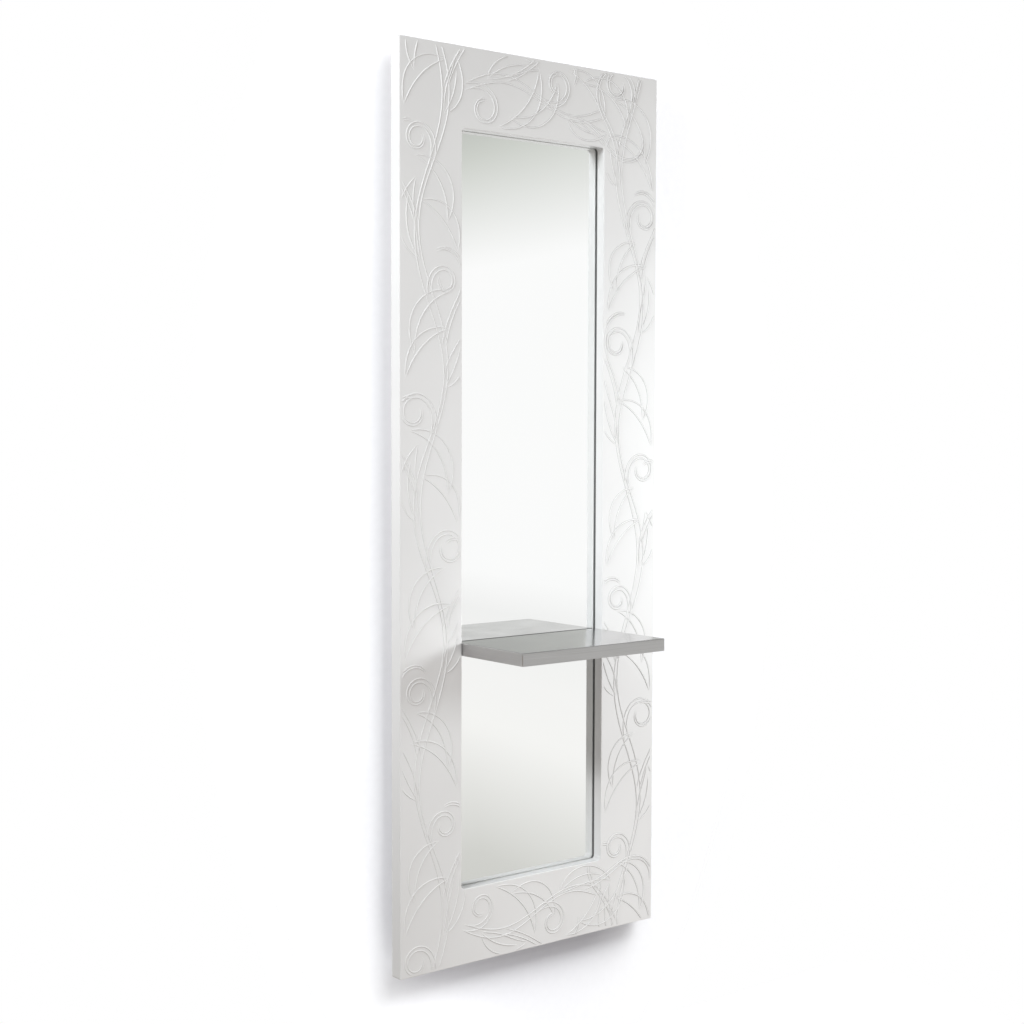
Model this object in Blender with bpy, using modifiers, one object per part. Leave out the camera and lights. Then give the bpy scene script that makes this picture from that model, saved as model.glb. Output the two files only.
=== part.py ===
"""Wall-hung salon styling mirror: a lacquered panel round a recessed mirror, with a steel-clad shelf.

Metres, +Z up. X runs to the right as seen from the front, Y runs into the wall and the wall is at Y = 0.
The origin is the middle of the wall rail's back face.
"""

import math

import bmesh
import bpy
from mathutils import Matrix

# Clearance between pieces that touch
FIT_GAP = 0.0003

# Front panel: one board with a routed opening
PANEL_WIDTH = 0.700
PANEL_HEIGHT = 1.900
PANEL_THICKNESS = 0.030
PANEL_CORNER_RADIUS = 0.003
PANEL_EDGE_ROUND = 0.0015
SIDE_BORDER = 0.156
TOP_BORDER = 0.166
BOTTOM_BORDER = 0.160
OPENING_RADIUS = 0.008

# Mirror pane and the seal that beds it in the rebate behind the opening
PANE_THICKNESS = 0.004
PANE_OVERLAP = 0.010
PANE_EDGE_PLAY = 0.0015
SEAL_THICKNESS = 0.003
SEAL_SETBACK = 0.001

# Back panel that holds the pane in
BACK_THICKNESS = 0.005
BACK_OVERLAP_SIDE = 0.060
BACK_OVERLAP_END = 0.040
BACK_CORNER_RADIUS = 0.004
BACK_SCREW_INSET = 0.015
BACK_SCREWS_PER_SIDE = 5

# Hook rails: the same section on the wall and, upside down, on the panel
WALL_STANDOFF = 0.016
RAIL_SHEET = 0.003
RAIL_FLANGE = 0.030
RAIL_TOP_SETBACK = 0.036
HOOK_ENGAGEMENT = 0.014
HOOK_CHAMFER = 0.001
HOOK_PLAY = 0.0004
HANGING_RAIL_LENGTH = 0.500
HANGING_RAIL_SCREWS = 5
WALL_RAIL_LENGTH = 0.460
WALL_RAIL_HOLES = 4
WALL_HOLE_RADIUS = 0.00325
RAIL_END_INSET = 0.025

# Bumpers that rest on the wall
BUMPER_RADIUS = 0.016
BUMPER_WALL_RADIUS = 0.014
BUMPER_SEAT_DEPTH = 0.006
BUMPER_SEAT_RADIUS = 0.006
BUMPER_SIDE_SETBACK = 0.090
BUMPER_RISE = 0.080

# Shelf: a core board between a folded skin and a base sheet, with a gasket towards the glass
SHELF_TOP_RISE = 0.678
SHELF_THICKNESS = 0.0264
SHELF_PROJECTION = 0.201
SHELF_SIDE_GAP = 0.0006
SHELF_BACK_GAP = 0.0045
SKIN_SHEET = 0.0012
SKIN_FOLD_RADIUS = 0.0016
SEAM_WIDTH = 0.0014
BASE_SHEET = 0.0012
BASE_SCREW_INSET = 0.030
GASKET_SETBACK = 0.0008

# Shelf support: a plate behind the back panel, with rods through the glass
SUPPORT_THICKNESS = 0.004
SUPPORT_HEIGHT = 0.080
SUPPORT_CORNER_RADIUS = 0.006
SUPPORT_END_CLEARANCE = 0.007
SUPPORT_SCREWS_PER_END = 3
SUPPORT_SCREW_PITCH = 0.027
ROD_RADIUS = 0.006
ROD_SPACING = 0.220
ROD_BITE = 0.130
ROD_CHAMFER = 0.001
ROD_END_PLAY = 0.005
BUSH_WALL = 0.0025
GRUB_RADIUS = 0.003
GRUB_SETBACK = 0.060
GRUB_RECESS = 0.0005

# Screws: shank radius, head radius, head height and the length that bites
COUNTERSUNK_SHANK = 0.0022
COUNTERSUNK_HEAD = 0.0043
COUNTERSUNK_BITE = 0.018
PAN_SHANK = 0.0018
PAN_HEAD = 0.0035
PAN_HEAD_HEIGHT = 0.0024
PAN_BITE = 0.015
BASE_SCREW_SHANK = 0.0014
BASE_SCREW_HEAD = 0.0028
BASE_SCREW_HEAD_HEIGHT = 0.0015
BASE_SCREW_BITE = 0.010
SCREW_POINT = 0.003
PILOT_SPARE = 0.001

# Facets
ARC_STEPS = 4
SCREW_SIDES = 12
ROUND_SIDES = 24
CUT_MARGIN = 0.002

# Depths, from the wall forwards
PANEL_BACK_Y = -WALL_STANDOFF
PANEL_FRONT_Y = PANEL_BACK_Y - PANEL_THICKNESS
RAIL_SEAT_Y = PANEL_BACK_Y + FIT_GAP
PANE_BACK_Y = PANEL_BACK_Y
PANE_FRONT_Y = PANE_BACK_Y - PANE_THICKNESS
SEAL_FRONT_Y = PANE_FRONT_Y - FIT_GAP - SEAL_THICKNESS
REBATE_SHOULDER_Y = SEAL_FRONT_Y - FIT_GAP
BACK_FRONT_Y = PANEL_BACK_Y + FIT_GAP
BACK_REAR_Y = BACK_FRONT_Y + BACK_THICKNESS
SUPPORT_FRONT_Y = BACK_REAR_Y + FIT_GAP
SUPPORT_REAR_Y = SUPPORT_FRONT_Y + SUPPORT_THICKNESS
SHELF_BACK_Y = PANE_FRONT_Y - SHELF_BACK_GAP
SHELF_FRONT_Y = PANEL_FRONT_Y - SHELF_PROJECTION

# Heights
HANGING_RAIL_Z = RAIL_FLANGE + HOOK_ENGAGEMENT + FIT_GAP
PANEL_TOP_Z = HANGING_RAIL_Z + RAIL_FLANGE / 2 + RAIL_TOP_SETBACK
PANEL_BOTTOM_Z = PANEL_TOP_Z - PANEL_HEIGHT
PANEL_MID_Z = (PANEL_TOP_Z + PANEL_BOTTOM_Z) / 2
OPENING_TOP_Z = PANEL_TOP_Z - TOP_BORDER
OPENING_BOTTOM_Z = PANEL_BOTTOM_Z + BOTTOM_BORDER
OPENING_MID_Z = (OPENING_TOP_Z + OPENING_BOTTOM_Z) / 2
SHELF_TOP_Z = PANEL_BOTTOM_Z + SHELF_TOP_RISE
SHELF_MID_Z = SHELF_TOP_Z - SHELF_THICKNESS / 2
SHELF_BOTTOM_Z = SHELF_TOP_Z - SHELF_THICKNESS
CORE_TOP_Z = SHELF_TOP_Z - SKIN_SHEET - FIT_GAP
CORE_BOTTOM_Z = SHELF_BOTTOM_Z + BASE_SHEET + FIT_GAP
BUMPER_Z = PANEL_BOTTOM_Z + BUMPER_RISE

# Widths and other derived sizes
OPENING_WIDTH = PANEL_WIDTH - 2 * SIDE_BORDER
OPENING_HEIGHT = OPENING_TOP_Z - OPENING_BOTTOM_Z
PANE_WIDTH = OPENING_WIDTH + 2 * PANE_OVERLAP
PANE_HEIGHT = OPENING_HEIGHT + 2 * PANE_OVERLAP
REBATE_WIDTH = PANE_WIDTH + 2 * PANE_EDGE_PLAY
REBATE_HEIGHT = PANE_HEIGHT + 2 * PANE_EDGE_PLAY
REBATE_RADIUS = OPENING_RADIUS + PANE_EDGE_PLAY
BACK_WIDTH = OPENING_WIDTH + 2 * BACK_OVERLAP_SIDE
BACK_HEIGHT = OPENING_HEIGHT + 2 * BACK_OVERLAP_END
BACK_SCREW_X = BACK_WIDTH / 2 - BACK_SCREW_INSET
SUPPORT_WIDTH = 2 * (BACK_SCREW_X - PAN_HEAD - SUPPORT_END_CLEARANCE)
SUPPORT_SCREW_X = (SUPPORT_WIDTH + REBATE_WIDTH) / 4
SHELF_WIDTH = OPENING_WIDTH - 2 * SHELF_SIDE_GAP
SHELF_DEPTH = SHELF_BACK_Y - SHELF_FRONT_Y
CORE_WIDTH = SHELF_WIDTH - 2 * (SKIN_SHEET + FIT_GAP)
CORE_FRONT_Y = SHELF_FRONT_Y + SKIN_SHEET + FIT_GAP
CORE_DEPTH = SHELF_BACK_Y - CORE_FRONT_Y
CORE_MID_Y = (SHELF_BACK_Y + CORE_FRONT_Y) / 2
BUSH_RADIUS = ROD_RADIUS + FIT_GAP + BUSH_WALL
BUMPER_X = PANEL_WIDTH / 2 - BUMPER_SIDE_SETBACK
HOOK_DEPTH = (HOOK_PLAY - RAIL_SEAT_Y) / 2
COUNTERSUNK_HEAD_HEIGHT = COUNTERSUNK_HEAD - COUNTERSUNK_SHANK

FACING_WALL = (-math.pi / 2, 0, 0)
FACING_DOWN = (math.pi, 0, 0)


def new_collection(name):
    collection = bpy.data.collections.new(name)
    bpy.context.scene.collection.children.link(collection)
    return collection


def new_empty(name):
    empty = bpy.data.objects.new(name, None)
    PARTS.objects.link(empty)
    return empty


def make_material(name, colour, roughness, metallic=0.0):
    material = bpy.data.materials.new(name)
    material.use_nodes = True
    shader = material.node_tree.nodes["Principled BSDF"]
    shader.inputs["Base Color"].default_value = (*colour, 1.0)
    shader.inputs["Roughness"].default_value = roughness
    shader.inputs["Metallic"].default_value = metallic
    return material


def add_part(name, mesh, material, parent, location=(0, 0, 0), rotation=(0, 0, 0)):
    part = bpy.data.objects.new(name, mesh)
    part.location = location
    part.rotation_euler = rotation
    part.parent = parent
    if not mesh.materials:
        mesh.materials.append(material)
    PARTS.objects.link(part)
    return part


def cut(part, name, mesh, location=(0, 0, 0)):
    cutter = bpy.data.objects.new(name, mesh)
    cutter.location = location
    cutter.hide_render = True
    cutter.display_type = "WIRE"
    CUTTERS.objects.link(cutter)
    boolean = part.modifiers.new(name, "BOOLEAN")
    boolean.operation = "DIFFERENCE"
    boolean.solver = "EXACT"
    boolean.object = cutter


def evaluated_mesh(source):
    """The mesh that an object evaluates to, with loose caps welded; the object itself is removed."""
    bpy.context.scene.collection.objects.link(source)
    graph = bpy.context.evaluated_depsgraph_get()
    mesh = bpy.data.meshes.new_from_object(source.evaluated_get(graph))
    bpy.data.objects.remove(source)
    shape = bmesh.new()
    shape.from_mesh(mesh)
    bmesh.ops.remove_doubles(shape, verts=shape.verts, dist=1e-6)
    shape.to_mesh(mesh)
    shape.free()
    return mesh


def smooth(mesh):
    mesh.shade_smooth()
    mesh.set_sharp_from_angle(angle=math.radians(35))
    return mesh


def rounded_outline(width, height, radius, centre=(0, 0)):
    """A rectangle with round corners, as points that run anticlockwise."""
    across = width / 2 - radius
    up = height / 2 - radius
    points = []
    for quarter, (sx, sz) in enumerate(((1, 1), (-1, 1), (-1, -1), (1, -1))):
        for step in range(ARC_STEPS + 1):
            angle = (quarter + step / ARC_STEPS) * math.pi / 2
            points.append((
                centre[0] + sx * across + radius * math.cos(angle),
                centre[1] + sz * up + radius * math.sin(angle),
            ))
    return points


def circle_outline(radius, centre, sides=ROUND_SIDES):
    angles = [2 * math.pi * side / sides for side in range(sides)]
    return [(centre[0] + radius * math.cos(a), centre[1] + radius * math.sin(a)) for a in angles]


def prism(name, outlines, thickness, turn, edge_round=0.0):
    """A flat plate from closed outlines and holes, centred on its own plane and turned into place."""
    curve = bpy.data.curves.new(name, "CURVE")
    curve.dimensions = "2D"
    curve.fill_mode = "BOTH"
    curve.extrude = thickness / 2 - edge_round
    if edge_round:
        curve.bevel_depth = edge_round
        curve.bevel_resolution = 1
        curve.offset = -edge_round
    for outline in outlines:
        spline = curve.splines.new("POLY")
        spline.points.add(len(outline) - 1)
        for point, (x, y) in zip(spline.points, outline):
            point.co = (x, y, 0, 1)
        spline.use_cyclic_u = True
    mesh = evaluated_mesh(bpy.data.objects.new(name, curve))
    mesh.transform(turn)
    return mesh


def upright(name, outlines, thickness, edge_round=0.0):
    """A plate that stands in the XZ plane."""
    return prism(name, outlines, thickness, Matrix.Rotation(math.pi / 2, 4, "X"), edge_round)


def level(name, outlines, thickness):
    """A plate that lies in the XY plane."""
    return prism(name, outlines, thickness, Matrix.Identity(4))


def block(name, size):
    mesh = bpy.data.meshes.new(name)
    shape = bmesh.new()
    bmesh.ops.create_cube(shape, size=1.0, matrix=Matrix.Diagonal((*size, 1.0)))
    shape.to_mesh(mesh)
    shape.free()
    return mesh


def drill(name, places, radius, start, end, axis="Y", sides=SCREW_SIDES, end_radius=None):
    """Round cutters in one mesh, straight or tapered; places give the two coordinates across the axis.

    Along Y they run from start towards the front, and along Z from start upwards.
    """
    mesh = bpy.data.meshes.new(name)
    shape = bmesh.new()
    middle = (start + end) / 2
    for across, other in places:
        if axis == "Y":
            matrix = Matrix.Translation((across, middle, other)) @ Matrix.Rotation(math.pi / 2, 4, "X")
        else:
            matrix = Matrix.Translation((across, other, middle))
        bmesh.ops.create_cone(
            shape,
            cap_ends=True,
            segments=sides,
            radius1=radius,
            radius2=radius if end_radius is None else end_radius,
            depth=abs(end - start),
            matrix=matrix,
        )
    shape.to_mesh(mesh)
    shape.free()
    return mesh


def joined(name, *meshes):
    """Several shapes that don't meet, as one cutter."""
    mesh = bpy.data.meshes.new(name)
    shape = bmesh.new()
    for other in meshes:
        shape.from_mesh(other)
    shape.to_mesh(mesh)
    shape.free()
    return mesh


def turned(name, profile, sides, closed=False):
    """A turned solid about Z from a profile of (radius, height) that runs down its outer side."""
    mesh = bpy.data.meshes.new(name)
    edges = [(i, i + 1) for i in range(len(profile) - 1)]
    if closed:
        edges.append((len(profile) - 1, 0))
    mesh.from_pydata([(radius, 0, height) for radius, height in profile], edges, [])
    source = bpy.data.objects.new(name, mesh)
    screw = source.modifiers.new("turn", "SCREW")
    screw.angle = 2 * math.pi
    screw.steps = sides
    screw.render_steps = sides
    screw.use_merge_vertices = True
    screw.merge_threshold = 1e-6
    return smooth(evaluated_mesh(source))


def spread(count, reach):
    """Places in a row from -reach to reach."""
    return [reach * (2 * i / (count - 1) - 1) for i in range(count)]


def pan_screw(name, shank, head, head_height, length):
    """A domed screw whose head rests on height 0 and whose point is at -length."""
    dome = 0.6
    profile = [
        (0, head_height),
        (head * dome, head_height),
        (head, head_height / 2),
        (head, 0),
        (shank, 0),
        (shank, SCREW_POINT - length),
        (0, -length),
    ]
    return turned(name, profile, SCREW_SIDES)


def countersunk_screw(name, length):
    """A flat-headed screw with its head's face at height 0 and its point at -length."""
    profile = [
        (0, 0),
        (COUNTERSUNK_HEAD, 0),
        (COUNTERSUNK_SHANK, -COUNTERSUNK_HEAD_HEIGHT),
        (COUNTERSUNK_SHANK, SCREW_POINT - length),
        (0, -length),
    ]
    return turned(name, profile, SCREW_SIDES)


def countersink(name, places, face_y):
    """Tapered cutter for countersunk heads in a face towards the wall, a little larger than the heads."""
    wide = COUNTERSUNK_HEAD + FIT_GAP + CUT_MARGIN
    end = face_y - COUNTERSUNK_HEAD_HEIGHT - FIT_GAP
    return drill(name, places, wide, face_y + CUT_MARGIN, end, end_radius=COUNTERSUNK_SHANK)


def rail_section():
    """Hook section as (distance from the mounting face, height); the hook points up."""
    half = RAIL_FLANGE / 2
    outer = HOOK_DEPTH + RAIL_SHEET
    tip = half + HOOK_ENGAGEMENT
    return [
        (0, -half),
        (RAIL_SHEET, -half),
        (RAIL_SHEET, half - RAIL_SHEET),
        (outer, half - RAIL_SHEET),
        (outer, tip - HOOK_CHAMFER),
        (outer - HOOK_CHAMFER, tip),
        (HOOK_DEPTH + HOOK_CHAMFER, tip),
        (HOOK_DEPTH, tip - HOOK_CHAMFER),
        (HOOK_DEPTH, half),
        (0, half),
    ]


def rail(name, length):
    """A hook rail along X with its mounting face on Y = 0 and its hook towards -Y."""
    turn = Matrix(((0, 0, -1, 0), (-1, 0, 0, 0), (0, 1, 0, 0), (0, 0, 0, 1)))
    return prism(name, [rail_section()], length, turn)


def back_screw_places():
    reach = BACK_HEIGHT / 2 - BACK_SCREW_INSET
    heights = [OPENING_MID_Z + z for z in spread(BACK_SCREWS_PER_SIDE, reach)]
    sides = [(x, z) for x in (-BACK_SCREW_X, BACK_SCREW_X) for z in heights]
    ends = [(0, OPENING_MID_Z - reach), (0, OPENING_MID_Z + reach)]
    return sides + ends


def rail_screw_places():
    reach = HANGING_RAIL_LENGTH / 2 - RAIL_END_INSET
    return [(x, HANGING_RAIL_Z) for x in spread(HANGING_RAIL_SCREWS, reach)]


def support_screw_places():
    reach = SUPPORT_SCREW_PITCH * (SUPPORT_SCREWS_PER_END - 1) / 2
    heights = [SHELF_MID_Z + z for z in spread(SUPPORT_SCREWS_PER_END, reach)]
    return [(x, z) for x in (-SUPPORT_SCREW_X, SUPPORT_SCREW_X) for z in heights]


def bumper_places():
    return [(-BUMPER_X, BUMPER_Z), (BUMPER_X, BUMPER_Z)]


def rod_places():
    return [(-ROD_SPACING / 2, SHELF_MID_Z), (ROD_SPACING / 2, SHELF_MID_Z)]


def grub_places():
    return [(x, SHELF_BACK_Y - GRUB_SETBACK) for x, _ in rod_places()]


def base_screw_places():
    across = CORE_WIDTH / 2 - BASE_SCREW_INSET
    front = CORE_FRONT_Y + BASE_SCREW_INSET
    back = SHELF_BACK_Y - BASE_SCREW_INSET
    return [(x, y) for y in (front, back) for x in (-across, across)]


def add_front_panel():
    outer = rounded_outline(PANEL_WIDTH, PANEL_HEIGHT, PANEL_CORNER_RADIUS, (0, PANEL_MID_Z))
    opening = rounded_outline(OPENING_WIDTH, OPENING_HEIGHT, OPENING_RADIUS, (0, OPENING_MID_Z))
    mesh = smooth(upright("front_panel", [outer, opening], PANEL_THICKNESS, PANEL_EDGE_ROUND))
    mid_y = (PANEL_FRONT_Y + PANEL_BACK_Y) / 2
    lacquer = make_material("white_lacquer", (0.88, 0.88, 0.87), 0.12)
    panel = add_part("front_panel", mesh, lacquer, UNIT, (0, mid_y, 0))
    rebate_outline = rounded_outline(REBATE_WIDTH, REBATE_HEIGHT, REBATE_RADIUS, (0, OPENING_MID_Z))
    end = PANEL_BACK_Y + CUT_MARGIN
    rebate = upright("rebate", [rebate_outline], end - REBATE_SHOULDER_Y)
    rebate.transform(Matrix.Translation((0, (end + REBATE_SHOULDER_Y) / 2, 0)))
    pan_places = back_screw_places() + support_screw_places() + bumper_places()
    pan_end = PANEL_BACK_Y - PAN_BITE - PILOT_SPARE
    pan_pilots = drill("pan_pilots", pan_places, PAN_SHANK + FIT_GAP, end, pan_end)
    rail_end = PANEL_BACK_Y - COUNTERSUNK_BITE - PILOT_SPARE
    rail_pilots = drill("rail_pilots", rail_screw_places(), COUNTERSUNK_SHANK + FIT_GAP, end, rail_end)
    cut(panel, "panel_cuts", joined("panel_cuts", rebate, pan_pilots, rail_pilots))


def add_mirror():
    pane = rounded_outline(PANE_WIDTH, PANE_HEIGHT, OPENING_RADIUS, (0, OPENING_MID_Z))
    holes = [circle_outline(BUSH_RADIUS + FIT_GAP, place) for place in rod_places()]
    pane_mesh = smooth(upright("mirror_pane", [pane, *holes], PANE_THICKNESS))
    silver = make_material("silvered_glass", (0.90, 0.92, 0.91), 0.02, 1.0)
    add_part("mirror_pane", pane_mesh, silver, UNIT, (0, (PANE_FRONT_Y + PANE_BACK_Y) / 2, 0))
    inner = rounded_outline(
        OPENING_WIDTH + 2 * SEAL_SETBACK,
        OPENING_HEIGHT + 2 * SEAL_SETBACK,
        OPENING_RADIUS + SEAL_SETBACK,
        (0, OPENING_MID_Z),
    )
    seal_mesh = smooth(upright("mirror_seal", [pane, inner], SEAL_THICKNESS))
    foam = make_material("black_foam", (0.02, 0.02, 0.02), 0.9)
    add_part("mirror_seal", seal_mesh, foam, UNIT, (0, SEAL_FRONT_Y + SEAL_THICKNESS / 2, 0))


def add_back_panel():
    outline = rounded_outline(BACK_WIDTH, BACK_HEIGHT, BACK_CORNER_RADIUS, (0, OPENING_MID_Z))
    shank = PAN_SHANK + FIT_GAP
    screw_places = back_screw_places() + support_screw_places()
    holes = [circle_outline(shank, place, SCREW_SIDES) for place in screw_places]
    holes += [circle_outline(BUSH_RADIUS + FIT_GAP, place) for place in rod_places()]
    mesh = smooth(upright("back_panel", [outline, *holes], BACK_THICKNESS))
    hardboard = make_material("hardboard", (0.30, 0.19, 0.10), 0.7)
    add_part("back_panel", mesh, hardboard, UNIT, (0, (BACK_FRONT_Y + BACK_REAR_Y) / 2, 0))
    length = FIT_GAP + BACK_THICKNESS + FIT_GAP + PAN_BITE
    screw_mesh = pan_screw("back_screw", PAN_SHANK, PAN_HEAD, PAN_HEAD_HEIGHT, length)
    for number, (x, z) in enumerate(back_screw_places(), 1):
        place = (x, BACK_REAR_Y + FIT_GAP, z)
        add_part(f"back_screw_{number:02d}", screw_mesh, ZINC, UNIT, place, FACING_WALL)


def add_rails():
    aluminium = make_material("rail_aluminium", (0.72, 0.73, 0.74), 0.35, 1.0)
    wall_rail = add_part("wall_rail", rail("wall_rail", WALL_RAIL_LENGTH), aluminium, WALL)
    reach = WALL_RAIL_LENGTH / 2 - RAIL_END_INSET
    hole_places = [(x, 0) for x in spread(WALL_RAIL_HOLES, reach)]
    wall_holes = drill("wall_holes", hole_places, WALL_HOLE_RADIUS, CUT_MARGIN, -RAIL_SHEET - CUT_MARGIN)
    cut(wall_rail, "wall_holes", wall_holes)
    hanging_mesh = rail("hanging_rail", HANGING_RAIL_LENGTH)
    hanging_mesh.transform(Matrix.Rotation(math.pi, 4, "X"))
    hanging = add_part("hanging_rail", hanging_mesh, aluminium, UNIT, (0, RAIL_SEAT_Y, HANGING_RAIL_Z))
    face_y = RAIL_SEAT_Y + RAIL_SHEET
    shank = COUNTERSUNK_SHANK + FIT_GAP
    hole_start = face_y + CUT_MARGIN
    hole_end = RAIL_SEAT_Y - CUT_MARGIN
    cut(hanging, "rail_holes", drill("rail_holes", rail_screw_places(), shank, hole_start, hole_end))
    cut(hanging, "rail_countersinks", countersink("rail_countersinks", rail_screw_places(), face_y))
    screw_mesh = countersunk_screw("rail_screw", FIT_GAP + RAIL_SHEET + COUNTERSUNK_BITE)
    for number, (x, z) in enumerate(rail_screw_places(), 1):
        add_part(f"rail_screw_{number}", screw_mesh, ZINC, UNIT, (x, face_y, z), FACING_WALL)


def add_bumpers():
    hole = PAN_SHANK + FIT_GAP
    length = WALL_STANDOFF - FIT_GAP
    seat = length - BUMPER_SEAT_DEPTH
    profile = [
        (BUMPER_SEAT_RADIUS, length),
        (BUMPER_WALL_RADIUS, length),
        (BUMPER_RADIUS, 0),
        (hole, 0),
        (hole, seat),
        (BUMPER_SEAT_RADIUS, seat),
    ]
    bumper_mesh = turned("wall_bumper", profile, ROUND_SIDES, closed=True)
    screw_length = FIT_GAP + seat + FIT_GAP + PAN_BITE
    screw_mesh = pan_screw("bumper_screw", PAN_SHANK, PAN_HEAD, PAN_HEAD_HEIGHT, screw_length)
    base_y = PANEL_BACK_Y + FIT_GAP
    for side, (x, z) in zip(("left", "right"), bumper_places()):
        add_part(f"wall_bumper_{side}", bumper_mesh, RUBBER, UNIT, (x, base_y, z), FACING_WALL)
        head_y = base_y + seat + FIT_GAP
        add_part(f"bumper_screw_{side}", screw_mesh, ZINC, UNIT, (x, head_y, z), FACING_WALL)


def shelf_skin_surface():
    """The skin's outer surface: top, front and both sides, with rounded folds and an open back and base."""
    mesh = block("shelf_skin", (SHELF_WIDTH, SHELF_DEPTH, SHELF_THICKNESS))
    shape = bmesh.new()
    shape.from_mesh(mesh)
    shape.normal_update()
    open_faces = [face for face in shape.faces if face.normal.y > 0.5 or face.normal.z < -0.5]
    bmesh.ops.delete(shape, geom=open_faces, context="FACES")
    folds = [edge for edge in shape.edges if len(edge.link_faces) == 2]
    bmesh.ops.bevel(shape, geom=folds, offset=SKIN_FOLD_RADIUS, segments=3, profile=0.5, affect="EDGES")
    shape.to_mesh(mesh)
    shape.free()
    return smooth(mesh)


def skin_seams():
    """Cutter for the open seams at the front corners, where the side folds stop short of the front fold."""
    reach = SKIN_SHEET + 2 * CUT_MARGIN
    top = SHELF_TOP_Z - 2 * SKIN_FOLD_RADIUS
    bottom = SHELF_BOTTOM_Z - CUT_MARGIN
    seams = []
    for side in (-1, 1):
        seam = block("seam", (reach, SEAM_WIDTH, top - bottom))
        y = SHELF_FRONT_Y + SKIN_FOLD_RADIUS + SEAM_WIDTH / 2
        seam.transform(Matrix.Translation((side * SHELF_WIDTH / 2, y, (top + bottom) / 2)))
        seams.append(seam)
    return joined("skin_seams", *seams)


def add_shelf():
    steel = make_material("brushed_steel", (0.60, 0.60, 0.59), 0.3, 1.0)
    middle = (0, (SHELF_BACK_Y + SHELF_FRONT_Y) / 2, SHELF_MID_Z)
    skin = add_part("shelf_skin", shelf_skin_surface(), steel, UNIT, middle)
    shell = skin.modifiers.new("sheet", "SOLIDIFY")
    shell.thickness = SKIN_SHEET
    shell.offset = -1
    shell.use_even_offset = True
    cut(skin, "skin_seams", skin_seams())
    core_mesh = block("shelf_core", (CORE_WIDTH, CORE_DEPTH, CORE_TOP_Z - CORE_BOTTOM_Z))
    board = make_material("core_board", (0.45, 0.33, 0.20), 0.8)
    core = add_part("shelf_core", core_mesh, board, UNIT, (0, CORE_MID_Y, (CORE_TOP_Z + CORE_BOTTOM_Z) / 2))
    bore_start = SHELF_BACK_Y + CUT_MARGIN
    bore_end = SHELF_BACK_Y - ROD_BITE - ROD_END_PLAY
    bore = ROD_RADIUS + FIT_GAP
    cut(core, "rod_bores", drill("rod_bores", rod_places(), bore, bore_start, bore_end, sides=ROUND_SIDES))
    below = CORE_BOTTOM_Z - CUT_MARGIN
    grub_bores = drill("grub_bores", grub_places(), GRUB_RADIUS + FIT_GAP, below, SHELF_MID_Z, "Z")
    cut(core, "grub_bores", grub_bores)
    pilot_end = SHELF_BOTTOM_Z + BASE_SCREW_BITE + PILOT_SPARE
    pilot = BASE_SCREW_SHANK + FIT_GAP
    cut(core, "base_pilots", drill("base_pilots", base_screw_places(), pilot, below, pilot_end, "Z"))
    outline = rounded_outline(CORE_WIDTH, CORE_DEPTH, SKIN_FOLD_RADIUS, (0, CORE_MID_Y))
    holes = [circle_outline(GRUB_RADIUS + FIT_GAP, place, SCREW_SIDES) for place in grub_places()]
    holes += [circle_outline(pilot, place, SCREW_SIDES) for place in base_screw_places()]
    base_mesh = smooth(level("shelf_base", [outline, *holes], BASE_SHEET))
    add_part("shelf_base", base_mesh, steel, UNIT, (0, 0, SHELF_BOTTOM_Z + BASE_SHEET / 2))
    screw_mesh = pan_screw(
        "base_screw", BASE_SCREW_SHANK, BASE_SCREW_HEAD, BASE_SCREW_HEAD_HEIGHT, FIT_GAP + BASE_SCREW_BITE
    )
    for number, (x, y) in enumerate(base_screw_places(), 1):
        place = (x, y, SHELF_BOTTOM_Z - FIT_GAP)
        add_part(f"base_screw_{number}", screw_mesh, ZINC, UNIT, place, FACING_DOWN)


def add_shelf_gasket():
    """A rubber strip that keeps the shelf's back edge off the glass, with holes for the rods."""
    outline = rounded_outline(
        SHELF_WIDTH - 2 * GASKET_SETBACK,
        SHELF_THICKNESS - 2 * GASKET_SETBACK,
        SKIN_FOLD_RADIUS,
        (0, SHELF_MID_Z),
    )
    holes = [circle_outline(ROD_RADIUS + FIT_GAP, place) for place in rod_places()]
    mesh = smooth(upright("shelf_gasket", [outline, *holes], SHELF_BACK_GAP - 2 * FIT_GAP))
    add_part("shelf_gasket", mesh, RUBBER, UNIT, (0, (SHELF_BACK_Y + PANE_FRONT_Y) / 2, 0))


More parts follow.
